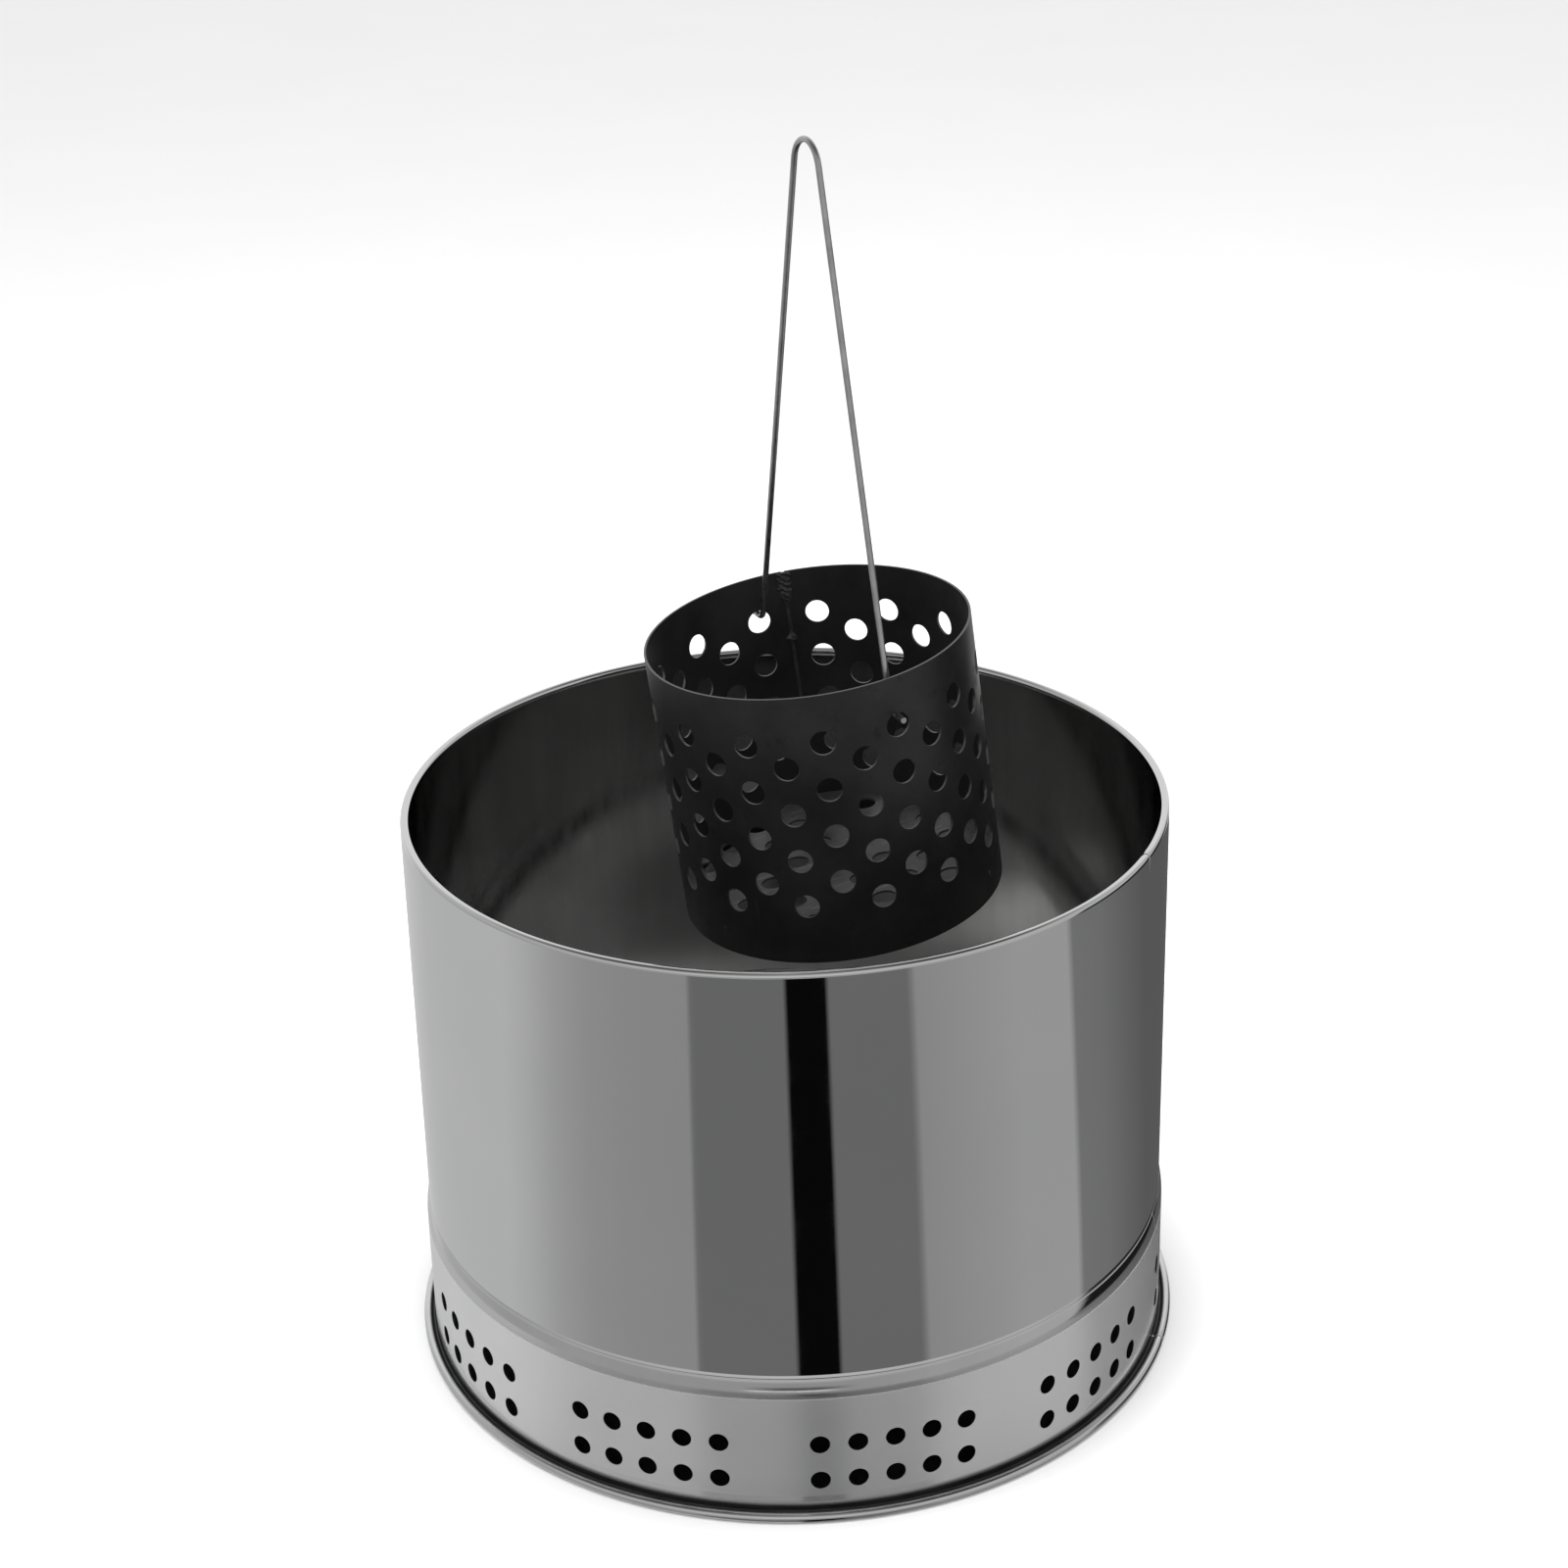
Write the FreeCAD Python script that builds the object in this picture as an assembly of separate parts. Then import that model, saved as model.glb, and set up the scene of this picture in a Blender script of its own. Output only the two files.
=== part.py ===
import FreeCAD, Part
import math
import os

# Charcoal drum with a lift-out starter basket.
# Origin: centre of the drum's footprint on the ground. +Z up. Millimetres.
# The basket is drawn where it hangs, lifted half out of the drum on its wire
# bail, turned a little by its own weight about the bail's two hook ends.
# +Y is the direction of the hook axis, from the near hook to the far one.

os.makedirs("parts", exist_ok=True)
V = FreeCAD.Vector
ZAX = V(0, 0, 1)

# ---------------------------------------------------------------- dimensions
SHEET = 1.2            # stainless sheet of drum and base ring
DRUM_R = 251.2         # drum, outside radius
DRUM_H = 383.7         # top of the rim above the ground
DRUM_Z0 = 104.0        # drum's lower edge, standing on the ring's shoulder
HEM_R = 3.0            # outside radius of the rolled hem at the rim
HEM_TURN = 292.0       # degrees that the hem is rolled
DRUM_SEAM = -49.3      # degrees, where drum sheet is butted
NECK_R = 249.9         # ring's neck, outside radius, a slip fit in the drum
NECK_TOP = 116.0
BAND_R = 253.4         # ring's vent band, outside radius
SHOULDER_Z = 104.4     # where the neck starts to turn out into the shoulder
SHOULDER_R = 1.9       # mid radius of the bend from the neck into the collar
COLLAR_TURN = 26.0     # degrees that the neck turns out, and the collar rounds back
COLLAR_LINE_Z = 101.2  # fine rolled line in the collar, just under the drum
FLARE_R = 1.92         # mid radius of the sweep from the band into the foot
FLARE_TURN = 150.0
FOOT_R = 3.0           # outside radius of the rolled foot
FOOT_TURN = 292.0
BAND_SEAM = -42.3      # degrees, vertical weld of the band
SEAM_W = 1.0           # width of the polished butt welds
WIRE_EDGE_R = 1.72     # wire rolled into hem and foot

VENT_R = 6.4           # air holes
VENT_GROUPS = 10
VENT_PER_ROW = 5
VENT_A0 = -147.55      # degrees, first hole of the group left of the front
VENT_STEP = 5.413      # degrees between holes of a group
VENT_Z = (53.8, 27.0)

PLATE_FLANGE_TOP = 17.0    # bottom plate's upturned flange

LEDGE_T = 1.2          # angle-section ledge inside the band, just above the air holes
LEDGE_REACH = 18.0
LEDGE_TOP = 78.0
FIRE_Z = 61.4          # underside of the loose fire plate, above the air holes
FIRE_R = 238.0         # its lip's outside radius, clear of the hem when it is lifted out
FIRE_LIP = 5.6         # height of the upturned lip above the underside
AIR_R = 7.0            # air holes of the fire plate
AIR_RINGS = ((6, 30.0), (12, 58.0))
FINGER_R = 11.0        # finger hole in its middle

BK_R = 105.9           # basket tube, outside radius
BK_T = 1.5
BK_H = 185.2
BK_TOP = V(15.59, -7.03, 497.75)           # centre of the rim
BK_AXIS = V(-0.11214, 0.02862, 0.99328)    # tube axis, bottom to top
BK_HOLE_R = 8.15
BK_ROWS = {0: (32.2, 64.4, 96.6, 128.8), 1: (47.7, 79.8, 112.1, 144.4)}
# columns of holes round the tube, degrees from the tube's own X direction,
# with the row set (0 or 1) each one uses; the field stops at the seam
BK_COLS = ((-179.35, 1), (-165.60, 0), (-152.65, 1), (-139.20, 0), (-125.90, 1), (-112.35, 0),
           (-99.00, 1), (-85.65, 0), (-72.30, 1), (-58.65, 0), (-45.25, 1), (-31.80, 0),
           (-12.50, 1), (7.50, 0), (21.95, 1), (35.60, 0), (49.40, 1), (63.00, 0),
           (85.10, 0), (98.90, 1), (112.90, 0), (126.60, 1), (140.10, 0), (153.60, 1), (167.10, 0))
BK_SEAM = 73.6         # degrees, longitudinal weld
BK_SEAM_W = 2.2
FLOOR_DEPTH = 168.3    # rim to floor's upper face, along the axis
FLOOR_T = 1.5
TACK_ANGLES = (-160.7, -49.0, 73.6)

BAIL_r = 2.0           # wire radius
PIN_CLEAR = 0.08       # between pin and top of its hole
PIN_OUT = 115.0        # pin's end, from the middle of the two hooks
LEG_FOOT = 96.6        # leg from the middle, at the hook
LEG_SLOPE = 0.2434     # how much each leg closes in per mm of height
BAIL_TOP = 811.5       # centreline height of the bail's top bend
HOOK_BEND = 6.0        # centreline radius of the hook's bend


def export(name, shape):
    shape.exportStep("parts/%s.step" % name)
    print(name, "solids", len(shape.Solids), "valid", shape.isValid(), "vol %.1f" % shape.Volume)


def strip(start, heading, segs, t):
    """Closed face, in the XZ plane, of a sheet of thickness t along a path of
    lines and tangent arcs: ("l", length) or ("a", mid radius, turn)."""
    x, z = start
    a = math.radians(heading)
    left, right = [], []
    h = t / 2.0

    def off(px, pz, ang, s):
        return V(px - s * math.sin(ang), 0, pz + s * math.cos(ang))

    lp0, rp0 = off(x, z, a, h), off(x, z, a, -h)
    lp, rp = lp0, rp0
    for s in segs:
        if s[0] == "l":
            x += s[1] * math.cos(a)
            z += s[1] * math.sin(a)
            ln, rn = off(x, z, a, h), off(x, z, a, -h)
            left.append(Part.LineSegment(lp, ln).toShape())
            right.append(Part.LineSegment(rp, rn).toShape())
        else:
            r, turn = s[1], math.radians(s[2])
            sg = 1.0 if turn > 0 else -1.0
            cx, cz = x - sg * r * math.sin(a), z + sg * r * math.cos(a)

            def at(frac, side):
                b = a + turn * frac
                px = cx + sg * r * math.sin(b)
                pz = cz - sg * r * math.cos(b)
                return off(px, pz, b, side)
            ln, rn = at(1, h), at(1, -h)
            left.append(Part.Arc(lp, at(0.5, h), ln).toShape())
            right.append(Part.Arc(rp, at(0.5, -h), rn).toShape())
            a += turn
            x = cx + sg * r * math.sin(a)
            z = cz - sg * r * math.cos(a)
        lp, rp = ln, rn
    edges = left + [Part.LineSegment(lp, rp).toShape()] + right[::-1] + [Part.LineSegment(rp0, lp0).toShape()]
    w = Part.Wire(Part.__sortEdges__(edges))
    return Part.Face(w), (x, z)


def revolve(face, ang=360.0, start=0.0):
    s = face.revolve(V(0, 0, 0), ZAX, ang)
    if start:
        s.rotate(V(0, 0, 0), ZAX, start)
    return s


def ring(R, r, z):
    return Part.makeTorus(R, r, V(0, 0, z), ZAX)


def slot_box(r0, r1, w, z0, z1, ang):
    b = Part.makeBox(r1 - r0, w, z1 - z0, V(r0, -w / 2.0, z0))
    b.rotate(V(0, 0, 0), ZAX, ang)
    return b


def shoulder(gap):
    """Path from the neck out to the band: a short bend that the drum's edge stands on,
    then a collar that rounds over into the band. Returns path, height, collar radius."""
    t = math.radians(COLLAR_TURN)
    rho = gap / (1.0 - math.cos(t)) - SHOULDER_R
    return [("a", SHOULDER_R, COLLAR_TURN), ("a", rho, -COLLAR_TURN)], (SHOULDER_R + rho) * math.sin(t), rho


# ---------------------------------------------------------------- drum shell
rc = DRUM_R - SHEET / 2.0
face, _ = strip((rc, DRUM_Z0), 90.0,
                [("l", DRUM_H - HEM_R - DRUM_Z0), ("a", HEM_R - SHEET / 2.0, HEM_TURN)], SHEET)
full = revolve(face)
box = slot_box(DRUM_R - 12, DRUM_R + 4, SEAM_W, DRUM_Z0 - 2, DRUM_H + 2, DRUM_SEAM)
export("drum_shell", full.cut(box))
export("drum_seam_weld", full.common(box))
export("rim_wire", ring(DRUM_R - HEM_R, WIRE_EDGE_R, DRUM_H - HEM_R))

# ---------------------------------------------------------------- base ring
# neck, shoulder with its rounded collar, vent band, flare, foot
nc = NECK_R - SHEET / 2.0
bc = BAND_R - SHEET / 2.0
sh, sh_drop, sh_rho = shoulder(bc - nc)
fl = math.radians(FLARE_TURN)
br = FOOT_R - SHEET / 2.0
# height where the flare starts, so that the rolled foot stands on the ground
z_flare = FOOT_R + FLARE_R * math.sin(fl) + br * math.sin(math.radians(180 - FLARE_TURN))
segs = [("l", NECK_TOP - SHOULDER_Z)] + sh + \
       [("l", SHOULDER_Z - sh_drop - z_flare), ("a", FLARE_R, FLARE_TURN), ("a", br, -FOOT_TURN)]
face, _ = strip((nc, NECK_TOP), 270.0, segs, SHEET)
full = revolve(face)
print("ring box", full.BoundBox)
# fine rolled lines: one where collar and band meet, one in the collar under the drum
full = full.cut(ring(BAND_R + 0.55, 0.85, 88.0))
rho_o = sh_rho + SHEET / 2.0
lt = math.asin((COLLAR_LINE_Z - (SHOULDER_Z - sh_drop)) / rho_o)
full = full.cut(ring(BAND_R - rho_o + (rho_o + 0.6) * math.cos(lt), 0.85, SHOULDER_Z - sh_drop + (rho_o + 0.6) * math.sin(lt)))
print("collar radius", sh_rho, "ends at", SHOULDER_Z - sh_drop)
tools = []
for g in range(VENT_GROUPS):
    for i in range(VENT_PER_ROW):
        for z in VENT_Z:
            a = math.radians(VENT_A0 + g * 360.0 / VENT_GROUPS + i * VENT_STEP)
            d = V(math.cos(a), math.sin(a), 0)
            tools.append(Part.makeCylinder(VENT_R, 20, d * (BAND_R - 12) + ZAX * z, d))
full = full.cut(Part.makeCompound(tools))
box = slot_box(NECK_R - 12, BAND_R + 14, SEAM_W, -2, NECK_TOP + 2, BAND_SEAM)
export("base_ring", full.cut(box))
export("base_seam_weld", full.common(box))
# foot roll's centre circle
px = bc + FLARE_R * (1.0 - math.cos(fl))
fcx = px + br * math.cos(math.radians(FLARE_TURN - 90.0 - 90.0))
export("foot_wire", ring(fcx, WIRE_EDGE_R, FOOT_R))
print("foot centre radius", fcx, "outer", fcx + FOOT_R)

# bottom plate: flat, with an upturned flange spot-welded inside the band
fr = 3.0
pc = bc - SHEET - 0.1
face, _ = strip((0.0, SHEET / 2.0), 0.0,
                [("l", pc - fr), ("a", fr, 90.0), ("l", PLATE_FLANGE_TOP - fr - SHEET / 2.0)], SHEET)
export("base_plate", revolve(face))

# ledge: angle section rolled to a ring and spot-welded inside the band
bt = LEDGE_T
vr = BAND_R - SHEET - bt / 2.0 - 0.05
rb = 2.0
face, _ = strip((vr, LEDGE_TOP), 270.0,
                [("l", LEDGE_TOP - (FIRE_Z - 0.1 - bt / 2.0 + rb)), ("a", rb, -90.0), ("l", LEDGE_REACH)], bt)
export("plate_ledge", revolve(face))

# ---------------------------------------------------------------- fire plate
# loose plate on the ledge; air comes up through its middle, under the basket
fp = 2.0
face, _ = strip((0.0, FIRE_Z + SHEET / 2.0), 0.0,
                [("l", FIRE_R - SHEET / 2.0 - fp), ("a", fp, 90.0), ("l", FIRE_LIP - fp - SHEET / 2.0)], SHEET)
plate = revolve(face)
air = [Part.makeCylinder(FINGER_R, 10, V(0, 0, FIRE_Z - 5))]
for n, rad in AIR_RINGS:
    for i in range(n):
        a = math.radians(i * 360.0 / n + 15.0)
        air.append(Part.makeCylinder(AIR_R, 10, V(rad * math.cos(a), rad * math.sin(a), FIRE_Z - 5)))
export("fire_plate", plate.cut(Part.makeCompound(air)))

# ---------------------------------------------------------------- basket
# Drawn in its own frame (rim centre at z = 0, tube below), then placed.
n3 = V(BK_AXIS)
n3.normalize()
# own X: the way the hooks' chord is offset from the tube's axis
ex = V(1, 0, 0) - n3 * n3.dot(V(1, 0, 0))
ex.normalize()
ey = n3.cross(ex)
PL = FreeCAD.Matrix(ex.x, ey.x, n3.x, BK_TOP.x,
                    ex.y, ey.y, n3.y, BK_TOP.y,
                    ex.z, ey.z, n3.z, BK_TOP.z,
                    0, 0, 0, 1)


def place(s):
    t = s.copy()
    t.Placement = FreeCAD.Placement(PL)
    return t


def pol(r, deg, z=0.0):
    a = math.radians(deg)
    return V(r * math.cos(a), r * math.sin(a), z)


ri = BK_R - BK_T
tube = Part.makeCylinder(BK_R, BK_H, V(0, 0, -BK_H)).cut(Part.makeCylinder(ri, BK_H + 4, V(0, 0, -BK_H - 2)))
holes = []
for ang, rows in BK_COLS:
    for dep in BK_ROWS[rows]:
        d = pol(1, ang)
        holes.append(Part.makeCylinder(BK_HOLE_R, 16, d * (BK_R - 9) - ZAX * dep, d))
tube = tube.cut(Part.makeCompound(holes))
gap = slot_box(ri - 6, BK_R + 6, BK_SEAM_W, -BK_H - 2, 2, BK_SEAM)
shell = tube.cut(gap)
weld = tube.common(gap)
# crown of the weld, standing proud inside and a little outside
bead_in = Part.makeCylinder(1.6, BK_H - 1.0, pol(ri + 0.5, BK_SEAM, -BK_H + 0.5))
bead_out = Part.makeCylinder(1.5, BK_H - 1.0, pol(BK_R - 0.75, BK_SEAM, -BK_H + 0.5))
crown = bead_in.fuse(bead_out).cut(shell)
weld = weld.fuse(crown).removeSplitter()
export("basket_shell", place(shell))

# floor: perforated disc inside the tube
disc = Part.makeCylinder(ri - 0.15, FLOOR_T, V(0, 0, -FLOOR_DEPTH - FLOOR_T))
ph = []
for i in range(-4, 5):
    for j in range(-6, 7):
        x = i * 24.7
        y = j * 32.2 + (16.1 if i % 2 else 0.0)
        if math.hypot(x, y) < ri - BK_HOLE_R - 7.0:
            ph.append(Part.makeCylinder(BK_HOLE_R, FLOOR_T + 4, V(x, y, -FLOOR_DEPTH - FLOOR_T - 2)))
disc = disc.cut(Part.makeCompound(ph))
seam_clear = Part.makeCylinder(2.0, FLOOR_T + 4, pol(ri + 0.5, BK_SEAM, -FLOOR_DEPTH - FLOOR_T - 2))
disc = disc.cut(seam_clear)
export("basket_floor", place(disc))
# tacks: plug welds through the tube wall into the floor's edge
tacks = []
for a in TACK_ANGLES:
    if abs(a - BK_SEAM) < 1:
        a = BK_SEAM + 9.0
    c = Part.makeSphere(2.6, pol(ri - 0.4, a, -FLOOR_DEPTH - FLOOR_T - 0.2))
    plug = Part.makeCylinder(1.9, BK_T + 1.6, pol(ri - 1.1, a, -FLOOR_DEPTH - FLOOR_T / 2.0), pol(1, a))
    tacks.append(plug.fuse(c))
export("basket_floor_tacks", place(Part.makeCompound(tacks)))
export("basket_seam_weld", place(weld))

# ---------------------------------------------------------------- bail
# The two hook ends lie on one line through the tops of two opposite holes.
HOOK_COLS = (-85.65, 85.10)    # columns of holes, degrees, near and far
lift = BK_HOLE_R - BAIL_r - PIN_CLEAR


def world(p):
    return PL.multVec(p)


pin_n = world(pol(BK_R - BK_T / 2.0, HOOK_COLS[0], -32.2 + lift))
pin_f = world(pol(BK_R - BK_T / 2.0, HOOK_COLS[1], -32.2 + lift))
mid = (pin_n + pin_f) * 0.5
ax = pin_n - pin_f
ax.normalize()
print("pins", pin_n, pin_f, "mid", mid, "axis", ax)
print("hinge pos_m", [round(c / 1000.0, 6) for c in mid], "axis", [round(c, 6) for c in ax])

# bail plane: holds the hook line and stands upright
up = V(0, 0, 1) - ax * ax.z
up.normalize()


def bp(s, h):
    """Point in the bail's plane: s along the hook line, h above it."""
    return mid + ax * s + up * h


def bend_path(points):
    """Wire through points with an arc at each inner one: (point, radius)."""
    edges = []
    cur = points[0][0]
    for k in range(1, len(points) - 1):
        p, r = points[k]
        a, b = points[k - 1][0], points[k + 1][0]
        d1 = (a - p)
        d1.normalize()
        d2 = (b - p)
        d2.normalize()
        half = math.acos(max(-1, min(1, d1.dot(d2)))) / 2.0
        L = r / math.tan(half)
        t1, t2 = p + d1 * L, p + d2 * L
        bis = d1 + d2
        bis.normalize()
        c = p + bis * (r / math.sin(half))
        m = c - bis * r
        edges.append(Part.LineSegment(cur, t1).toShape())
        edges.append(Part.Arc(t1, m, t2).toShape())
        cur = t2
    edges.append(Part.LineSegment(cur, points[-1][0]).toShape())
    return Part.Wire(edges)


# legs close in from LEG_FOOT at the hooks to the top bend
alpha = math.atan(LEG_SLOPE)
top_h = BAIL_TOP - mid.z
# circle of the top bend, tangent to both legs: w = LEG_FOOT - slope * h at the tangent
# r cos(a) = LEG_FOOT - slope * (hc + r sin(a)),  hc + r = top_h
r_top = (LEG_FOOT - LEG_SLOPE * top_h) / (math.cos(alpha) + LEG_SLOPE * math.sin(alpha) - LEG_SLOPE)
hc = top_h - r_top
tw = r_top * math.cos(alpha)
th = hc + r_top * math.sin(alpha)
print("top bend radius", r_top, "centre h", hc, "tangent", tw, th)
shift = -2.4           # the top sits a little to the far side of the middle


def lp(s, h):
    return bp(s + shift * h / top_h, h)


def leg(sgn):
    return [(bp(sgn * PIN_OUT, 0), 0), (bp(sgn * (LEG_FOOT), 0), HOOK_BEND), (lp(sgn * tw, th), 0)]


w1 = bend_path(leg(1))
w2 = bend_path(leg(-1))
arc = Part.Arc(lp(tw, th), lp(0, hc + r_top), lp(-tw, th)).toShape()
path = Part.Wire(Part.__sortEdges__(w1.Edges + [arc] + w2.Edges))
start = bp(PIN_OUT, 0)
prof = Part.Wire(Part.makeCircle(BAIL_r, start, ax))
bail = path.makePipeShell([prof], True, False, 1)
if bail.ShapeType != "Solid":
    bail = Part.Solid(bail) if bail.ShapeType == "Shell" else bail
L = path.Length
print("bail length %.1f" % L, "volume", bail.Volume, "expected", math.pi * BAIL_r ** 2 * L)
export("bail_wire", bail)
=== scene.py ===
import math

import bmesh
import bpy
from mathutils import Matrix, Vector
from mathutils.geometry import delaunay_2d_cdt


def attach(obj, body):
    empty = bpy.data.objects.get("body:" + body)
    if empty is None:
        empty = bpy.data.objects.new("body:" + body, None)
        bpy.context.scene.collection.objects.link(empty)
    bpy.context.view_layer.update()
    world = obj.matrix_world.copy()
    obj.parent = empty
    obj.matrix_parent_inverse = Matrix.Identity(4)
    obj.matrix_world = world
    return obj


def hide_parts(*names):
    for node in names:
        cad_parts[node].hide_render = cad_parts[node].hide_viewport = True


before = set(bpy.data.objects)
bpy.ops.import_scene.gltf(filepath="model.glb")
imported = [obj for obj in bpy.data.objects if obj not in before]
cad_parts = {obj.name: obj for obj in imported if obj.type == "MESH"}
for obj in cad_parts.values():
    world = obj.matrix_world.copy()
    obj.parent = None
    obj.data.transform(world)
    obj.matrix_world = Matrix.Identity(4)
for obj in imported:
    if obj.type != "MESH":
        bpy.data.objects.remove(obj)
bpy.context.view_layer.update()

scene = bpy.context.scene
MM = 0.001

# ------------------------------------------------------------------ dimensions (mm, as the design)
SHEET = 1.2
DRUM_R, DRUM_H, DRUM_Z0 = 251.2, 383.7, 104.0
HEM_R, HEM_TURN, DRUM_SEAM = 3.0, 292.0, -49.3
NECK_R, NECK_TOP, BAND_R = 249.9, 116.0, 253.4
SHOULDER_Z, SHOULDER_R, COLLAR_TURN, COLLAR_LINE_Z = 104.4, 1.9, 26.0, 101.2
FLARE_R, FLARE_TURN, FOOT_R, FOOT_TURN = 1.92, 150.0, 3.0, 292.0
BAND_SEAM, SEAM_W = -42.3, 1.0
VENT_R, VENT_A0, VENT_STEP, VENT_Z = 6.4, -147.55, 5.413, (53.8, 27.0)
BK_R, BK_T, BK_H = 105.9, 1.5, 185.2
BK_TOP = Vector((15.59, -7.03, 497.75))
BK_AXIS = Vector((-0.11214, 0.02862, 0.99328)).normalized()
BK_HOLE_R = 8.15
BK_ROWS = {0: (32.2, 64.4, 96.6, 128.8), 1: (47.7, 79.8, 112.1, 144.4)}
BK_COLS = ((-179.35, 1), (-165.60, 0), (-152.65, 1), (-139.20, 0), (-125.90, 1), (-112.35, 0),
           (-99.00, 1), (-85.65, 0), (-72.30, 1), (-58.65, 0), (-45.25, 1), (-31.80, 0),
           (-12.50, 1), (7.50, 0), (21.95, 1), (35.60, 0), (49.40, 1), (63.00, 0),
           (85.10, 0), (98.90, 1), (112.90, 0), (126.60, 1), (140.10, 0), (153.60, 1), (167.10, 0))
BK_SEAM, BK_SEAM_W = 73.6, 2.2
BAIL_r, PIN_CLEAR, PIN_OUT, LEG_FOOT, LEG_SLOPE, BAIL_TOP, HOOK_BEND = 2.0, 0.08, 115.0, 96.6, 0.2434, 811.5, 6.0
CAM_AZ = 24.257        # degrees that the view stands to the left of the -Y side


# ------------------------------------------------------------------ mesh helpers
def new_object(name, verts, faces, mats, face_mat=None, sharp=32.0):
    me = bpy.data.meshes.new(name)
    me.from_pydata([tuple(v) for v in verts], [], faces)
    for m in mats:
        me.materials.append(m)
    if face_mat:
        me.polygons.foreach_set("material_index", face_mat)
    ob = bpy.data.objects.new(name, me)
    scene.collection.objects.link(ob)
    tidy(ob, sharp)
    return ob


def tidy(ob, sharp=32.0, merge=1e-6):
    me = ob.data
    bm = bmesh.new()
    bm.from_mesh(me)
    bmesh.ops.remove_doubles(bm, verts=bm.verts, dist=merge)
    bmesh.ops.recalc_face_normals(bm, faces=bm.faces)
    lim = math.radians(sharp)
    for e in bm.edges:
        if len(e.link_faces) == 2:
            e.smooth = e.calc_face_angle(0.0) < lim
        e.seam = False
    for f in bm.faces:
        f.smooth = True
    bm.to_mesh(me)
    bm.free()
    me.update()


def radial_normals(ob, r_out, r_in, z0, z1):
    """Exact normals on the two faces of a rolled sheet, so a perforated sheet shades like a plain one."""
    me = ob.data
    out = [(0.0, 0.0, 0.0)] * len(me.loops)
    vs = me.vertices
    for p in me.polygons:
        side = 0
        for r, sg in ((r_out, 1.0), (r_in, -1.0)):
            if all(abs(math.hypot(vs[i].co.x, vs[i].co.y) - r * MM) < 4e-6 and
                   z0 * MM - 1e-6 <= vs[i].co.z <= z1 * MM + 1e-6 for i in p.vertices):
                side = sg
        if side and abs(p.normal.z) < 0.2:
            for li in p.loop_indices:
                c = vs[me.loops[li].vertex_index].co
                n = Vector((c.x, c.y, 0.0)).normalized() * side
                out[li] = (n.x, n.y, 0.0)
    me.normals_split_custom_set(out)


def pinch(ob, seam, rc, zc, r):
    """A rolled edge is a little flattened and out of line where its two ends meet."""
    for v in ob.data.vertices:
        x, y, z = v.co / MM
        rr = math.hypot(x, y)
        if math.hypot(rr - rc, z - zc) > r + 0.3:
            continue
        d = (math.degrees(math.atan2(y, x)) - seam + 180.0) % 360.0 - 180.0
        if abs(d) > 4.0:
            continue
        k = math.exp(-(d / 0.55) ** 2)
        g = 1.0 - 0.16 * k - (0.05 if -1.6 < d < 0 else 0.0) * math.exp(-(d / 0.8) ** 2)
        nr, nz = rc + (rr - rc) * g, zc + (z - zc) * g
        v.co = (x / rr * nr * MM, y / rr * nr * MM, nz * MM)


def strip_path(start, heading, segs, t, step=6.0):
    """Paired points (left, right) of a sheet along lines and tangent arcs, in (r, z)."""
    x, z = start
    a = math.radians(heading)
    h = t / 2.0
    out = []

    def add(px, pz, ang):
        s, c = math.sin(ang), math.cos(ang)
        out.append(((px - s * h, pz + c * h), (px + s * h, pz - c * h)))
    add(x, z, a)
    for s in segs:
        if s[0] == "l":
            n = max(1, int(s[2])) if len(s) > 2 else 1
            ds = [s[1] * i / n for i in range(1, n + 1)]
            if len(s) < 4 and s[1] > 1.0:         # short steps at both ends keep the flats flat
                ds = sorted(set(ds + [0.2, s[1] - 0.2]))
            for q in ds:
                add(x + q * math.cos(a), z + q * math.sin(a), a)
            x += s[1] * math.cos(a)
            z += s[1] * math.sin(a)
        else:
            r, turn = s[1], math.radians(s[2])
            sg = 1.0 if turn > 0 else -1.0
            cx, cz = x - sg * r * math.sin(a), z + sg * r * math.cos(a)
            n = s[3] if len(s) > 3 else max(4, int(abs(s[2]) / step))
            for i in range(1, n + 1):
                b = a + turn * i / n
                add(cx + sg * r * math.sin(b), cz - sg * r * math.cos(b), b)
            a += turn
            x = cx + sg * r * math.sin(a)
            z = cz - sg * r * math.cos(a)
    return out


def revolve_pairs(pairs, a0, a1, n, skip=(), round_ends=True):
    """Thin-walled revolve of paired points from angle a0 to a1 (degrees). skip holds
    the indices of path steps left out, to be filled by a perforated sheet."""
    L = [p[0] for p in pairs]
    R = [p[1] for p in pairs]
    loop = L + R[::-1]
    m = len(L)
    verts, faces = [], []
    for j in range(n + 1):
        a = math.radians(a0 + (a1 - a0) * j / n)
        c, s = math.cos(a), math.sin(a)
        for r, z in loop:
            verts.append((r * c * MM, r * s * MM, z * MM))
    k = len(loop)
    for j in range(n):
        for i in range(k):
            i2 = (i + 1) % k
            if i < m - 1:
                if i in skip:
                    continue
            elif i == m - 1 or i == k - 1:
                pass
            else:
                if (k - 2 - i) in skip:
                    continue
            faces.append((j * k + i, (j + 1) * k + i, (j + 1) * k + i2, j * k + i2))
    # closing faces at both ends, one quad for each step of the path
    for j in (0, n):
        for i in range(m - 1):
            q = (j * k + i, j * k + i + 1, j * k + (k - 2 - i), j * k + (k - 1 - i))
            faces.append(q if j == 0 else q[::-1])
    return verts, faces


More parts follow.
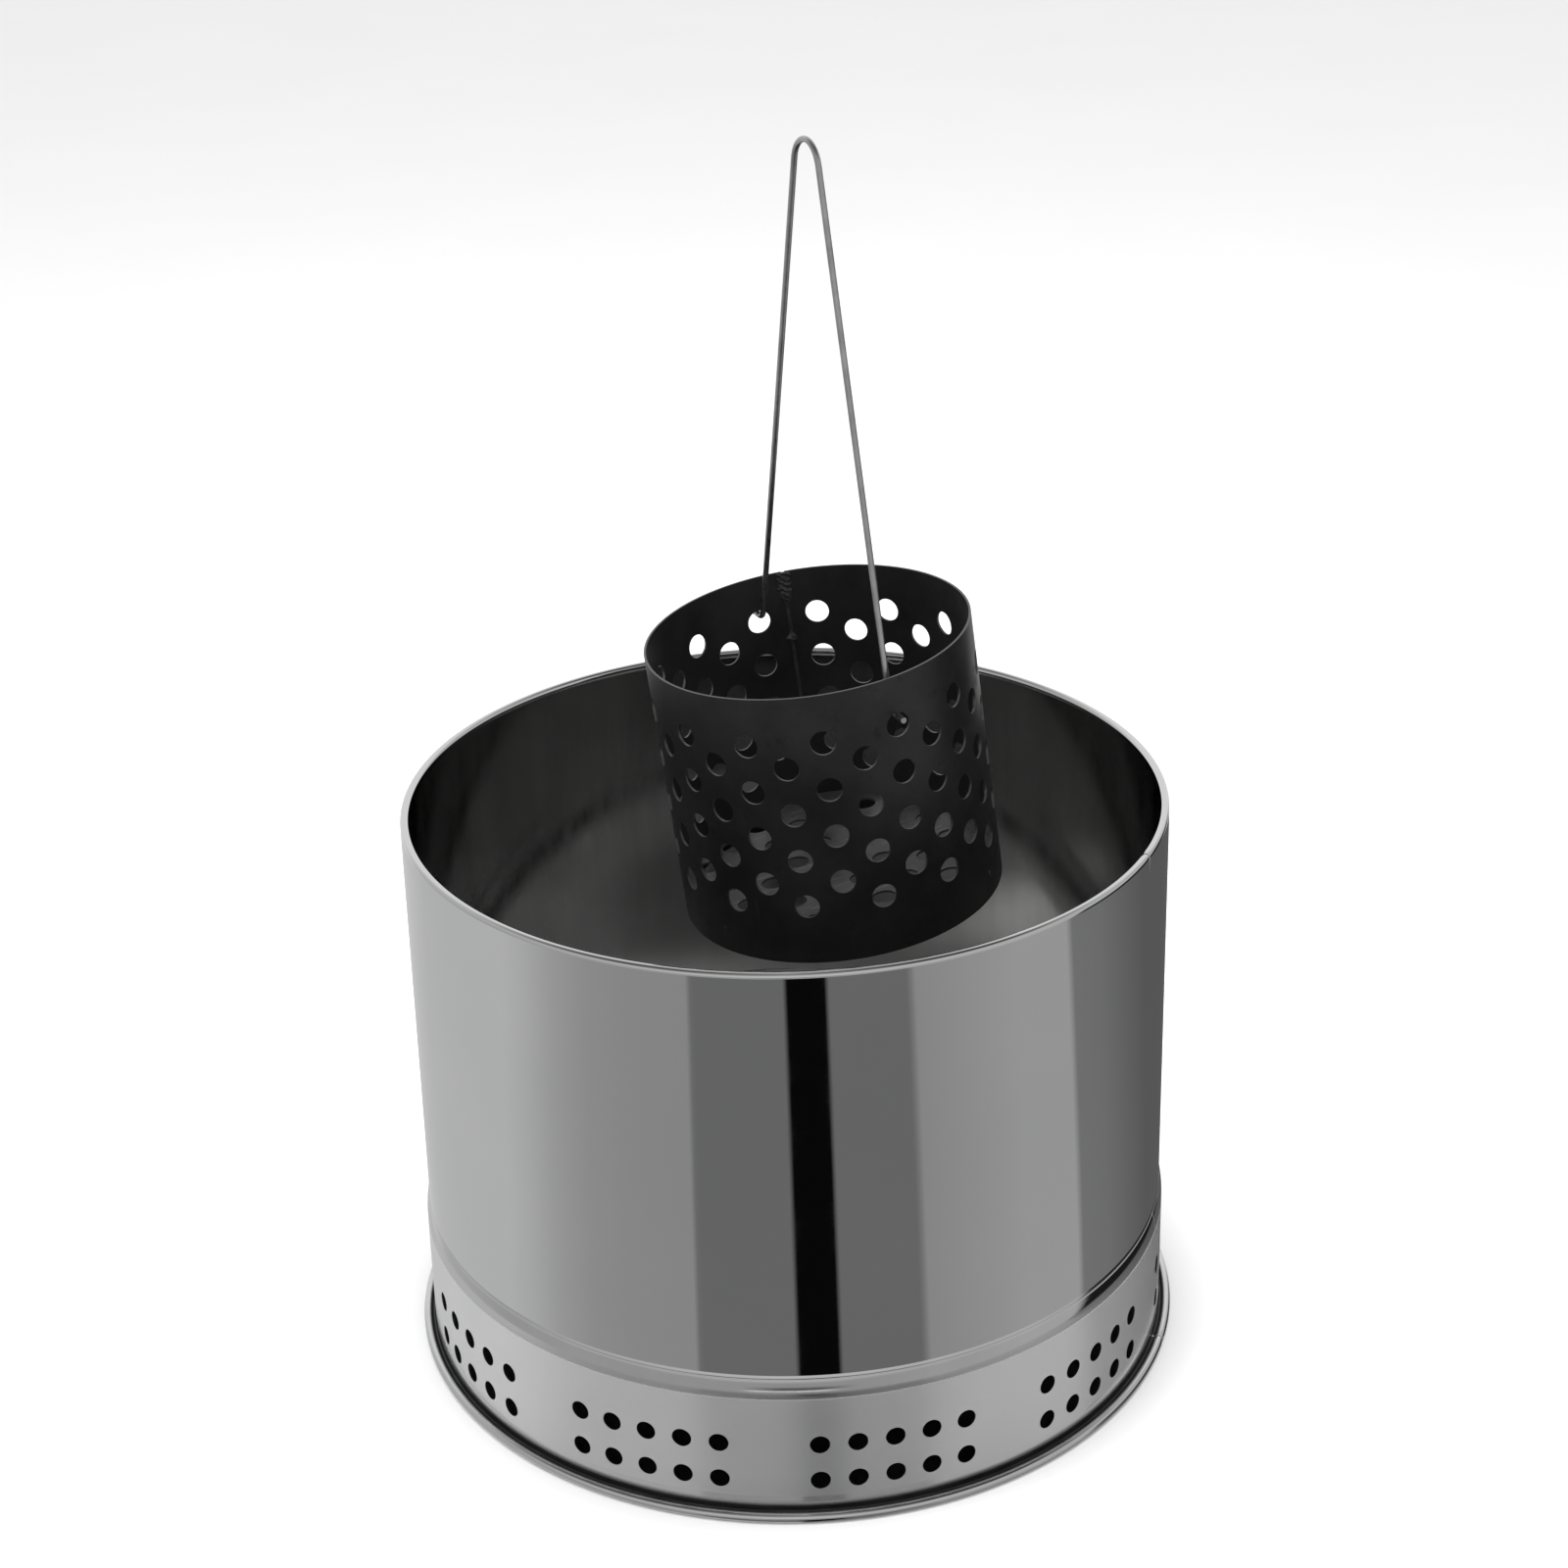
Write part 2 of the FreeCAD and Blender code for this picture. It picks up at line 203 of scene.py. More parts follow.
def perforated(r_out, t, z0, z1, a0, a1, na, holes, hole_r, hn, zstep, cham, wrap=True):
    """Perforated sheet rolled to a tube: vertices, faces and a material index for each
    face (0 outside, 1 cut edges, 2 inside). holes: (angle deg, z)."""
    arc = math.radians(1.0) * r_out
    W = (a1 - a0) * arc
    pts, edges = [], []

    def add(p):
        pts.append(p)
        return len(pts) - 1
    # outer rectangle
    bot = [add(Vector((W * i / na, z0))) for i in range(na + 1)]
    nz = max(2, int(round((z1 - z0) / zstep)))
    rgt = [add(Vector((W, z0 + (z1 - z0) * i / nz))) for i in range(1, nz)]
    top = [add(Vector((W * i / na, z1))) for i in range(na, -1, -1)]
    lft = [add(Vector((0.0, z1 - (z1 - z0) * i / nz))) for i in range(1, nz)]
    ring = bot + rgt + top + lft
    faces_in = [ring]
    hole_pts = []
    hr = hole_r + cham
    for (ang, z) in holes:
        cx = ((ang - a0) % 360.0) * arc
        ids = []
        for q in range(hn):
            b = 2 * math.pi * q / hn
            ids.append(add(Vector((cx + hr * math.cos(b), z + hr * math.sin(b)))))
        hole_pts.append((cx, z, ids))
        faces_in.append(ids[::-1])
    # inner grid, kept off the holes
    keep = hr + 0.9
    for i in range(1, na):
        x = W * i / na
        near = [h for h in hole_pts if abs(h[0] - x) < keep]
        for j in range(1, nz):
            z = z0 + (z1 - z0) * j / nz
            if all(math.hypot(h[0] - x, h[1] - z) > keep for h in near):
                add(Vector((x, z)))
    edges = []
    for f in faces_in:
        for i in range(len(f)):
            edges.append((f[i], f[(i + 1) % len(f)]))
    vo, eo, fo, _, _, _ = delaunay_2d_cdt(pts, edges, [], 2, 1e-5)
    # drop triangles inside holes and outside the sheet
    tris = []
    cells = {}
    for h in hole_pts:
        for gx in range(int((h[0] - hr) // 20), int((h[0] + hr) // 20) + 1):
            cells.setdefault(gx, []).append(h)
    for f in fo:
        c = sum((vo[i] for i in f), Vector((0, 0))) / len(f)
        if any(all(math.hypot(h[0] - vo[i].x, h[1] - vo[i].y) < hr + 1e-3 for i in f) for h in cells.get(int(c.x // 20), ())):
            continue
        tris.append(list(f))
    verts, faces, mats = [], [], []

    def wrap_pt(x, z, r):
        a = math.radians(a0) + x / r_out
        return (r * math.cos(a) * MM, r * math.sin(a) * MM, z * MM)
    nv = len(vo)
    r_in = r_out - t
    for p in vo:
        verts.append(wrap_pt(p.x, p.y, r_out))
    for p in vo:
        verts.append(wrap_pt(p.x, p.y, r_in))
    for f in tris:
        faces.append(tuple(f))
        mats.append(0)
        faces.append(tuple(i + nv for i in reversed(f)))
        mats.append(2)
    # cut edge of each hole: chamfer, wall, chamfer
    for cx, z, ids in hole_pts:
        base = len(verts)
        for depth, rr in ((0.0, hr), (cham, hole_r), (t - cham, hole_r), (t, hr)):
            for q in range(hn):
                b = 2 * math.pi * q / hn
                verts.append(wrap_pt(cx + rr * math.cos(b), z + rr * math.sin(b), r_out - depth))
        for lv in range(3):
            for q in range(hn):
                q2 = (q + 1) % hn
                faces.append((base + lv * hn + q, base + (lv + 1) * hn + q,
                              base + (lv + 1) * hn + q2, base + lv * hn + q2))
                mats.append(1)
    # sheet's own edges
    nb = len(ring)
    pos = [pts[i] for i in ring]
    base = len(verts)
    for p in pos:
        verts.append(wrap_pt(p.x, p.y, r_out))
    for p in pos:
        verts.append(wrap_pt(p.x, p.y, r_in))
    if wrap:
        for i in range(nb):
            i2 = (i + 1) % nb
            faces.append((base + i, base + i2, base + nb + i2, base + nb + i))
            mats.append(1)
    return verts, faces, mats


# ------------------------------------------------------------------ materials
def nodes_of(name):
    m = bpy.data.materials.new(name)
    m.use_nodes = True
    nt = m.node_tree
    for n in list(nt.nodes):
        nt.nodes.remove(n)
    out = nt.nodes.new("ShaderNodeOutputMaterial")
    b = nt.nodes.new("ShaderNodeBsdfPrincipled")
    nt.links.new(b.outputs[0], out.inputs[0])
    return m, nt, b


def N(nt, kind, **kw):
    n = nt.nodes.new(kind)
    for k, v in kw.items():
        if k.startswith("i_"):
            n.inputs[k[2:].replace("_", " ")].default_value = v
        else:
            setattr(n, k, v)
    return n


def math_node(nt, op, a=None, b=None, c=None, clamp=False):
    n = nt.nodes.new("ShaderNodeMath")
    n.operation = op
    n.use_clamp = clamp
    for i, v in enumerate((a, b, c)):
        if v is None:
            continue
        if isinstance(v, (int, float)):
            n.inputs[i].default_value = v
        else:
            nt.links.new(v, n.inputs[i])
    return n.outputs[0]


def coords(nt, scale=(1, 1, 1)):
    tc = nt.nodes.new("ShaderNodeTexCoord")
    mp = nt.nodes.new("ShaderNodeMapping")
    mp.inputs["Scale"].default_value = scale
    nt.links.new(tc.outputs["Object"], mp.inputs["Vector"])
    return mp.outputs[0]


def cylindrical(nt, centre=(0, 0, 0), r=0.25):
    """(arc length, radius, height) in metres about a vertical axis."""
    tc = nt.nodes.new("ShaderNodeTexCoord")
    sep = nt.nodes.new("ShaderNodeSeparateXYZ")
    nt.links.new(tc.outputs["Object"], sep.inputs[0])
    x = math_node(nt, "SUBTRACT", sep.outputs[0], centre[0])
    y = math_node(nt, "SUBTRACT", sep.outputs[1], centre[1])
    ang = math_node(nt, "ARCTAN2", y, x)
    s = math_node(nt, "MULTIPLY", ang, r)
    rr = math_node(nt, "SQRT", math_node(nt, "ADD", math_node(nt, "MULTIPLY", x, x), math_node(nt, "MULTIPLY", y, y)))
    com = nt.nodes.new("ShaderNodeCombineXYZ")
    nt.links.new(s, com.inputs[0])
    nt.links.new(rr, com.inputs[1])
    nt.links.new(sep.outputs[2], com.inputs[2])
    return com.outputs[0], s, rr, sep.outputs[2]


def noise(nt, vec, scale, detail=4.0, rough=0.5, vscale=(1, 1, 1)):
    if vscale != (1, 1, 1):
        mp = nt.nodes.new("ShaderNodeMapping")
        mp.inputs["Scale"].default_value = vscale
        nt.links.new(vec, mp.inputs["Vector"])
        vec = mp.outputs[0]
    n = nt.nodes.new("ShaderNodeTexNoise")
    n.inputs["Scale"].default_value = scale
    n.inputs["Detail"].default_value = detail
    n.inputs["Roughness"].default_value = rough
    nt.links.new(vec, n.inputs["Vector"])
    return n.outputs["Fac"]


def remap(nt, v, a, b, c, d, clamp=True):
    n = nt.nodes.new("ShaderNodeMapRange")
    n.clamp = clamp
    for k, val in zip(("From Min", "From Max", "To Min", "To Max"), (a, b, c, d)):
        n.inputs[k].default_value = val
    nt.links.new(v, n.inputs["Value"])
    return n.outputs["Result"]


def mix_rgb(nt, fac, a, b, mode="MIX"):
    n = nt.nodes.new("ShaderNodeMix")
    n.data_type = "RGBA"
    n.blend_type = mode
    n.clamp_factor = True
    if isinstance(fac, (int, float)):
        n.inputs[0].default_value = fac
    else:
        nt.links.new(fac, n.inputs[0])
    for idx, v in ((6, a), (7, b)):
        if isinstance(v, (tuple, list)):
            n.inputs[idx].default_value = (*v[:3], 1.0)
        else:
            nt.links.new(v, n.inputs[idx])
    return n.outputs[2]


def bump(nt, height, strength, dist, b, prev=None):
    n = nt.nodes.new("ShaderNodeBump")
    n.inputs["Strength"].default_value = strength
    n.inputs["Distance"].default_value = dist
    nt.links.new(height, n.inputs["Height"])
    if prev is not None:
        nt.links.new(prev, n.inputs["Normal"])
    nt.links.new(n.outputs[0], b.inputs["Normal"])
    return n.outputs[0]


def mat_mirror():
    m, nt, b = nodes_of("mirror_steel")
    b.inputs["Metallic"].default_value = 1.0
    cyl, s, rr, z = cylindrical(nt)
    big = noise(nt, cyl, 9.0, 3.0)
    smudge = noise(nt, cyl, 34.0, 6.0, 0.62)
    lines = noise(nt, cyl, 60.0, 3.0, 0.6, (1.0, 1.0, 26.0))
    col = mix_rgb(nt, remap(nt, big, 0.3, 0.7, 0, 1), (0.775, 0.775, 0.78), (0.745, 0.748, 0.752))
    nt.links.new(col, b.inputs["Base Color"])
    r1 = remap(nt, smudge, 0.45, 0.75, 0.018, 0.055)
    r2 = remap(nt, lines, 0.4, 0.7, 0.0, 0.02)
    nt.links.new(math_node(nt, "ADD", r1, r2), b.inputs["Roughness"])
    # very slight rolling waviness, so that reflected edges aren't ruler-straight
    wav = noise(nt, cyl, 5.0, 1.0, 0.4)
    p = bump(nt, wav, 0.06, 0.0012, b)
    bump(nt, lines, 0.02, 0.00004, b, p)
    return m


def mat_polish():
    """Polished edges of the base ring, a little less clean than the drum."""
    m, nt, b = nodes_of("polished_steel")
    b.inputs["Metallic"].default_value = 1.0
    cyl, s, rr, z = cylindrical(nt)
    big = noise(nt, cyl, 18.0, 4.0)
    fine = noise(nt, cyl, 80.0, 4.0, 0.6, (0.4, 1.0, 12.0))
    col = mix_rgb(nt, remap(nt, big, 0.3, 0.7, 0, 1), (0.76, 0.76, 0.765), (0.70, 0.702, 0.706))
    nt.links.new(col, b.inputs["Base Color"])
    # the polish runs out into the brushed band at the collar's lower edge
    out = math_node(nt, "MULTIPLY", remap(nt, z, 0.0890, 0.0945, 0.24, 0.0), remap(nt, z, 0.05, 0.06, 0.0, 1.0))
    nt.links.new(math_node(nt, "ADD", remap(nt, fine, 0.35, 0.75, 0.045, 0.12), out), b.inputs["Roughness"])
    p = bump(nt, big, 0.05, 0.0010, b)
    bump(nt, fine, 0.04, 0.00005, b, p)
    return m


def mat_crease_shade():
    """The fold above the rolled foot, its colour darkened: painted shade in the crease."""
    m, nt, b = nodes_of("crease_painted_shade")
    b.inputs["Metallic"].default_value = 0.8
    cyl, s, rr, z = cylindrical(nt)
    fine = noise(nt, cyl, 90.0, 5.0, 0.6, (0.5, 1.0, 6.0))
    col = mix_rgb(nt, remap(nt, fine, 0.3, 0.7, 0, 1), (0.030, 0.030, 0.030), (0.075, 0.074, 0.073))
    # the painted shade thins out up the band and towards the roll's crown
    shade_gone_up = remap(nt, z, 0.0078, 0.0120, 0.0, 1.0)
    shade_gone_out = remap(nt, rr, 0.2562, 0.2574, 0.0, 1.0)
    k = math_node(nt, "MAXIMUM", shade_gone_up, shade_gone_out)
    col = mix_rgb(nt, k, col, (0.73, 0.73, 0.735))
    nt.links.new(col, b.inputs["Base Color"])
    nt.links.new(math_node(nt, "ADD", remap(nt, fine, 0.3, 0.7, 0.05, 0.12), remap(nt, k, 0.0, 1.0, 0.22, 0.0)), b.inputs["Roughness"])
    bump(nt, fine, 0.05, 0.0001, b)
    return m


def mat_inside_shade():
    """Drum's inner face: the same polished sheet, its colour darkened as painted shade of the drum's inside, with
    darker hazed patches and drawn streaks.
    """
    m, nt, b = nodes_of("inner_steel_painted_shade")
    b.inputs["Metallic"].default_value = 1.0
    cyl, s, rr, z = cylindrical(nt)
    streak = noise(nt, cyl, 22.0, 5.0, 0.6, (1.0, 1.0, 0.05))
    fine = noise(nt, cyl, 90.0, 4.0, 0.6, (1.0, 1.0, 0.12))
    haze = noise(nt, cyl, 14.0, 5.0, 0.6)
    col = mix_rgb(nt, remap(nt, streak, 0.3, 0.7, 0, 1), (0.40, 0.399, 0.397), (0.50, 0.499, 0.497))
    col = mix_rgb(nt, remap(nt, haze, 0.5, 0.8, 0, 0.35), col, (0.27, 0.269, 0.267))
    nt.links.new(col, b.inputs["Base Color"])
    nt.links.new(remap(nt, fine, 0.3, 0.75, 0.07, 0.17), b.inputs["Roughness"])
    p = bump(nt, streak, 0.10, 0.0010, b)
    bump(nt, fine, 0.08, 0.0002, b, p)
    return m


def mat_brushed():
    m, nt, b = nodes_of("brushed_steel")
    b.inputs["Metallic"].default_value = 0.82
    cyl, s, rr, z = cylindrical(nt)
    grain = noise(nt, cyl, 40.0, 6.0, 0.7, (0.35, 1.0, 34.0))
    fine = noise(nt, cyl, 160.0, 4.0, 0.6, (0.15, 1.0, 26.0))
    cloud = noise(nt, cyl, 12.0, 4.0, 0.55)
    col = mix_rgb(nt, remap(nt, grain, 0.3, 0.7, 0, 1), (0.775, 0.775, 0.78), (0.80, 0.80, 0.80))
    col = mix_rgb(nt, remap(nt, cloud, 0.4, 0.75, 0, 0.25), col, (0.64, 0.64, 0.65))
    nt.links.new(col, b.inputs["Base Color"])
    nt.links.new(remap(nt, fine, 0.3, 0.7, 0.19, 0.25), b.inputs["Roughness"])
    b.inputs["Anisotropic"].default_value = 0.3
    tan = nt.nodes.new("ShaderNodeTangent")
    tan.direction_type = "RADIAL"
    tan.axis = "Z"
    nt.links.new(tan.outputs[0], b.inputs["Tangent"])
    bump(nt, grain, 0.02, 0.00006, b)
    return m


def mat_edge(name="cut_edge", base=0.62, rough=0.22):
    m, nt, b = nodes_of(name)
    b.inputs["Metallic"].default_value = 1.0
    v = coords(nt)
    n = noise(nt, v, 900.0, 4.0, 0.6)
    col = mix_rgb(nt, remap(nt, n, 0.3, 0.7, 0, 1), (base * 0.7, base * 0.7, base * 0.7), (base, base, base))
    nt.links.new(col, b.inputs["Base Color"])
    nt.links.new(remap(nt, n, 0.3, 0.7, rough, rough + 0.15), b.inputs["Roughness"])
    bump(nt, n, 0.2, 0.0001, b)
    return m


def mat_black(name, tone=1.0, rough=0.36):
    """Blackened, oiled steel: dark scale with a low sheen, rubbed patches, fine scratches."""
    m, nt, b = nodes_of(name)
    b.inputs["Metallic"].default_value = 0.85
    v = coords(nt)
    cloud = noise(nt, v, 16.0, 5.0, 0.6)
    spot = noise(nt, v, 55.0, 6.0, 0.65)
    micro = noise(nt, v, 700.0, 4.0, 0.6)
    scr = noise(nt, v, 120.0, 3.0, 0.7, (1.0, 1.0, 0.06))
    col = mix_rgb(nt, remap(nt, cloud, 0.3, 0.7, 0, 1), (0.050 * tone, 0.050 * tone, 0.053 * tone),
                  (0.085 * tone, 0.084 * tone, 0.086 * tone))
    col = mix_rgb(nt, remap(nt, spot, 0.62, 0.78, 0, 0.75), col, (0.022, 0.021, 0.021))
    col = mix_rgb(nt, remap(nt, scr, 0.70, 0.76, 0, 0.35), col, (0.17 * tone, 0.17 * tone, 0.17 * tone))
    nt.links.new(col, b.inputs["Base Color"])
    r = math_node(nt, "ADD", remap(nt, cloud, 0.3, 0.7, rough, rough + 0.10), remap(nt, spot, 0.55, 0.8, 0.0, 0.16))
    nt.links.new(r, b.inputs["Roughness"])
    p = bump(nt, micro, 0.10, 0.00008, b)
    bump(nt, spot, 0.12, 0.0003, b, p)
    return m


def mat_raw(name="raw_steel", base=0.21):
    m, nt, b = nodes_of(name)
    b.inputs["Metallic"].default_value = 0.9
    v = coords(nt)
    cloud = noise(nt, v, 30.0, 6.0, 0.65)
    scr = noise(nt, v, 200.0, 4.0, 0.7, (0.12, 1.0, 1.0))
    scr2 = noise(nt, v, 240.0, 3.0, 0.7, (1.0, 0.1, 1.0))
    col = mix_rgb(nt, remap(nt, cloud, 0.3, 0.7, 0, 1), (base * 0.55, base * 0.54, base * 0.53), (base, base, base))
    col = mix_rgb(nt, remap(nt, scr, 0.58, 0.66, 0, 0.6), col, (base * 1.7, base * 1.7, base * 1.7))
    col = mix_rgb(nt, remap(nt, scr2, 0.62, 0.68, 0, 0.5), col, (base * 0.35, base * 0.35, base * 0.35))
    nt.links.new(col, b.inputs["Base Color"])
    nt.links.new(remap(nt, cloud, 0.3, 0.7, 0.30, 0.48), b.inputs["Roughness"])
    p = bump(nt, scr, 0.15, 0.0001, b)
    bump(nt, cloud, 0.15, 0.0003, b, p)
    return m


def mat_wire(name="wire_steel", base=0.55, rough=0.25):
    m, nt, b = nodes_of(name)
    b.inputs["Metallic"].default_value = 1.0
    v = coords(nt)
    draw = noise(nt, v, 500.0, 4.0, 0.6, (1.0, 1.0, 0.04))
    cloud = noise(nt, v, 60.0, 4.0, 0.6)
    col = mix_rgb(nt, remap(nt, cloud, 0.35, 0.7, 0, 1), (base, base, base * 1.01), (base * 0.72, base * 0.71, base * 0.70))
    nt.links.new(col, b.inputs["Base Color"])
    nt.links.new(remap(nt, draw, 0.3, 0.7, rough, rough + 0.14), b.inputs["Roughness"])
    bump(nt, draw, 0.12, 0.0001, b)
    return m


def mat_weld(name="weld_metal"):
    """Burnt, oxidised weld metal."""
    m, nt, b = nodes_of(name)
    b.inputs["Metallic"].default_value = 0.6
    v = coords(nt)
    rip = noise(nt, v, 420.0, 4.0, 0.65)
    tint = noise(nt, v, 90.0, 3.0, 0.6)
    col = mix_rgb(nt, remap(nt, tint, 0.3, 0.7, 0, 1), (0.030, 0.029, 0.029), (0.075, 0.072, 0.070))
    col = mix_rgb(nt, remap(nt, rip, 0.62, 0.75, 0, 0.5), col, (0.16, 0.155, 0.15))
    nt.links.new(col, b.inputs["Base Color"])
    nt.links.new(remap(nt, rip, 0.3, 0.7, 0.35, 0.65), b.inputs["Roughness"])
    bump(nt, rip, 0.6, 0.0008, b)
    return m


def mat_plate_shade():
    """Dull mill-finish sheet under the fire plate, stained by smoke and ash, its colour darkened further as painted
    shade of the closed space there.
    """
    m, nt, b = nodes_of("inner_plate")
    b.inputs["Metallic"].default_value = 0.85
    v = coords(nt)
    cloud = noise(nt, v, 9.0, 6.0, 0.65)
    fine = noise(nt, v, 130.0, 5.0, 0.6)
    col = mix_rgb(nt, remap(nt, cloud, 0.35, 0.7, 0, 1), (0.13, 0.128, 0.125), (0.06, 0.058, 0.056))
    col = mix_rgb(nt, remap(nt, fine, 0.5, 0.75, 0, 0.4), col, (0.035, 0.034, 0.033))
    nt.links.new(col, b.inputs["Base Color"])
    nt.links.new(remap(nt, fine, 0.3, 0.7, 0.35, 0.55), b.inputs["Roughness"])
    bump(nt, fine, 0.2, 0.0003, b)
    return m


def mat_satin(name="satin_steel", tone=1.0):
    """Satin sheet of the fire plate: fine drawn lines, faint clouds, a few scratches."""
    m, nt, b = nodes_of(name)
    b.inputs["Metallic"].default_value = 0.6
    v = coords(nt)
    line = noise(nt, v, 300.0, 4.0, 0.6, (1.0, 0.03, 1.0))
    cloud = noise(nt, v, 8.0, 5.0, 0.6)
    scr = noise(nt, v, 90.0, 3.0, 0.7, (0.08, 1.0, 1.0))
    col = mix_rgb(nt, remap(nt, cloud, 0.3, 0.7, 0, 1), (0.30 * tone, 0.299 * tone, 0.297 * tone), (0.21 * tone, 0.209 * tone, 0.207 * tone))
    col = mix_rgb(nt, remap(nt, scr, 0.66, 0.72, 0, 0.3), col, (0.30, 0.299, 0.297))
    nt.links.new(col, b.inputs["Base Color"])
    nt.links.new(remap(nt, line, 0.3, 0.7, 0.26, 0.38), b.inputs["Roughness"])
    p = bump(nt, line, 0.10, 0.0001, b)
    bump(nt, cloud, 0.10, 0.0015, b, p)
    return m


M_MIRROR, M_INSIDE_SHADE, M_BRUSH, M_POLISH = mat_mirror(), mat_inside_shade(), mat_brushed(), mat_polish()
M_EDGE = mat_edge("cut_edge", 0.24, 0.38)
# the vents' cut walls get a near-black colour: painted shade inside the holes
M_VENT_SHADE = mat_edge("vent_edge_painted_shade", 0.10, 0.4)
M_BLACK, M_BLACK_IN = mat_black("basket_steel", 0.82, 0.34), mat_black("basket_inner", 0.85, 0.40)
M_RAW, M_WIRE, M_WELD = mat_raw(), mat_wire(), mat_weld()
M_PLATE_SHADE, M_SATIN, M_LEDGE = mat_plate_shade(), mat_satin(), mat_satin("ledge_steel", 0.62)
M_HOOP, M_CREASE_SHADE = mat_wire("hoop_wire", 0.45, 0.3), mat_crease_shade()


def carry(node, material):
    """A CAD node keeps its shape and takes a better material."""
    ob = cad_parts[node]
    if not ob.material_slots:
        ob.data.materials.append(material)
    for s in ob.material_slots:
        s.material = material


for n, m in (("drum_seam_weld", M_MIRROR), ("rim_wire", M_HOOP), ("base_seam_weld", M_BRUSH), ("foot_wire", M_HOOP),
             ("base_plate", M_PLATE_SHADE), ("plate_ledge", M_LEDGE), ("fire_plate", M_SATIN),
             ("basket_floor", M_RAW), ("basket_floor_tacks", M_WELD),
             ("basket_seam_weld", M_WELD), ("bail_wire", M_WIRE)):
    carry(n, m)

# ------------------------------------------------------------------ drum shell
rc = DRUM_R - SHEET / 2
seam_half = math.degrees(SEAM_W / 2 / DRUM_R)
pairs = strip_path((rc, DRUM_Z0 + 0.25), 90.0,
                   [("l", DRUM_H - HEM_R - DRUM_Z0 - 0.25, 24), ("a", HEM_R - SHEET / 2, HEM_TURN)], SHEET, 7.0)
# eased lower edge
(l0, r0) = pairs[0]
pairs.insert(0, ((l0[0] + 0.3, l0[1] - 0.25), (r0[0] - 0.3, r0[1] - 0.25)))
v, f = revolve_pairs(pairs, DRUM_SEAM + seam_half, DRUM_SEAM + 360 - seam_half, 540)
me_mats = [M_MIRROR, M_INSIDE_SHADE]
drum = new_object("drum_shell_skin", v, f, me_mats)
# inner face of the wall, below the hem, is less polished and darker in colour: painted shade of the drum's inside
for p in drum.data.polygons:
    c = p.center
    if math.hypot(c.x, c.y) < (DRUM_R - SHEET + 0.05) * MM and c.z < (DRUM_H - 2 * HEM_R) * MM:
        p.material_index = 1
pinch(drum, DRUM_SEAM, DRUM_R - HEM_R, DRUM_H - HEM_R, HEM_R)
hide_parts("drum_shell")
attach(drum, "drum")

# ------------------------------------------------------------------ base ring
nc, bc = NECK_R - SHEET / 2, BAND_R - SHEET / 2


def shoulder(gap):
    """Bend that the drum stands on, then a collar that rounds over into the band."""
    t = math.radians(COLLAR_TURN)
    rho = gap / (1.0 - math.cos(t)) - SHOULDER_R
    drop = (SHOULDER_R + rho) * math.sin(t)
    # short steps across the rolled line, longer ones elsewhere
    line = math.degrees(math.asin((COLLAR_LINE_Z - SHOULDER_Z + drop) / (rho + SHEET / 2)))
    turns = [("a", rho, -(COLLAR_TURN - line - 1.7), 3), ("a", rho, -3.4, 8), ("a", rho, -(line - 1.7), 14)]
    return [("a", SHOULDER_R, COLLAR_TURN)] + turns, drop, rho


sh, sh_drop, sh_rho = shoulder(bc - nc)
fl = math.radians(FLARE_TURN)
br = FOOT_R - SHEET / 2
z_fl = FOOT_R + FLARE_R * math.sin(fl) + br * math.sin(math.radians(180 - FLARE_TURN))
VZ1, VZ0 = 84.0, 15.0
zb = SHOULDER_Z - sh_drop
segs = [("l", NECK_TOP - SHOULDER_Z - 0.2, 3)] + sh + \
       [("l", zb - 88.55, 1), ("l", 0.3, 1), ("l", 0.5, 1), ("l", 0.3, 1), ("l", 87.45 - VZ1, 1, 0)]
pre = strip_path((nc, NECK_TOP - 0.2), 270.0, segs, SHEET, 14.0)
n_pre = len(pre)
segs2 = segs + [("l", VZ1 - VZ0, 1, 0), ("l", VZ0 - z_fl, 1), ("a", FLARE_R, FLARE_TURN), ("a", br, -FOOT_TURN)]
pairs = strip_path((nc, NECK_TOP - 0.2), 270.0, segs2, SHEET, 14.0)
# the fine rolled lines are pressed into the outer side only
rho_o = sh_rho + SHEET / 2
lt = math.asin((COLLAR_LINE_Z - zb) / rho_o)
gr, gz = BAND_R - rho_o + (rho_o + 0.6) * math.cos(lt), zb + (rho_o + 0.6) * math.sin(lt)
for i, (a, b) in enumerate(pairs):
    zz = a[1]
    o = a if a[0] > b[0] else b
    d = math.hypot(o[0] - gr, o[1] - gz)
    if d < 0.85:
        o2 = (gr + (o[0] - gr) / d * 0.85, gz + (o[1] - gz) / d * 0.85)
        pairs[i] = (o2, b) if o is a else (a, o2)
    if abs(zz - 88.25) < 0.06 or abs(zz - 87.75) < 0.06:
        lo, hi = (a, b) if a[0] < b[0] else (b, a)
        hi2 = (hi[0] - 0.3, hi[1])
        pairs[i] = (a, hi2) if hi is b else (hi2, b)
(l0, r0) = pairs[0]
pairs.insert(0, ((l0[0] - 0.3, l0[1] + 0.2), (r0[0] + 0.3, r0[1] + 0.2)))
skip_i = n_pre           # the step from VZ1 to VZ0, after the inserted first pair
NB = 480
b_half = math.degrees(SEAM_W / 2 / BAND_R)
A0, A1 = BAND_SEAM + b_half, BAND_SEAM + 360 - b_half
v, f = revolve_pairs(pairs, A0, A1, NB, skip=(skip_i,))
fm = [0] * len(f)
vents = [(VENT_A0 + g * 36.0 + i * VENT_STEP, z) for g in range(10) for i in range(5) for z in VENT_Z]
pv, pf, pm = perforated(BAND_R, SHEET, VZ0, VZ1, A0, A1, NB, vents, VENT_R - 0.08, 44, 5.75, 0.08, wrap=False)
off = len(v)
v += pv
f += [tuple(i + off for i in q) for q in pf]
